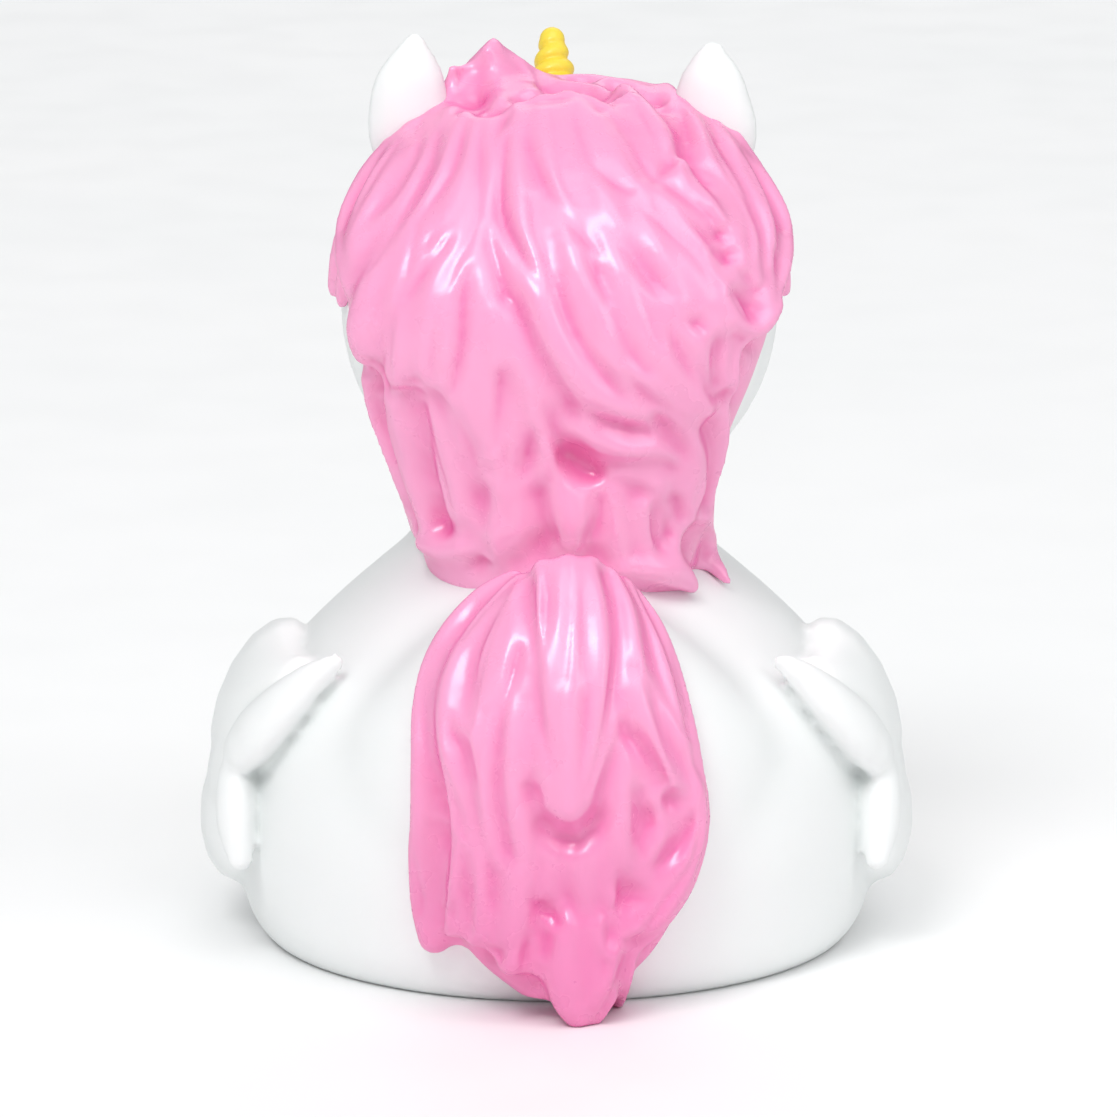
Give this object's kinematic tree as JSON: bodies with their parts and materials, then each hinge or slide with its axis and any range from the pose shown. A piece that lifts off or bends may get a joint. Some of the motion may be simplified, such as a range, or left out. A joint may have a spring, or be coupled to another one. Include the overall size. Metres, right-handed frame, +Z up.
{
  "type": "rubber duck",
  "caption": "Bath duck dressed as a unicorn: one sealed vinyl moulding, white, with a pink mane and tail, a yellow coiled horn, upright ears and small folded wings.",
  "frame": {"origin": "the point of the flat base, on the duck's middle plane, that lies under the body's widest ring", "axes": "+Z is up, +Y is the way the bill points, and +X is the side of the right wing"},
  "size_m": [0.0718, 0.081, 0.0897],
  "materials": {
    "white_vinyl": "soft vinyl with a satin skin",
    "pink_paint": "smooth paint with a soft gloss",
    "yellow_paint": "smooth paint with a soft gloss",
    "orange_paint": "smooth paint with a soft gloss",
    "black_paint": "glossy paint"
  },
  "bodies": {
    "root": {"duck": "white_vinyl"}
  },
  "joints": []
}
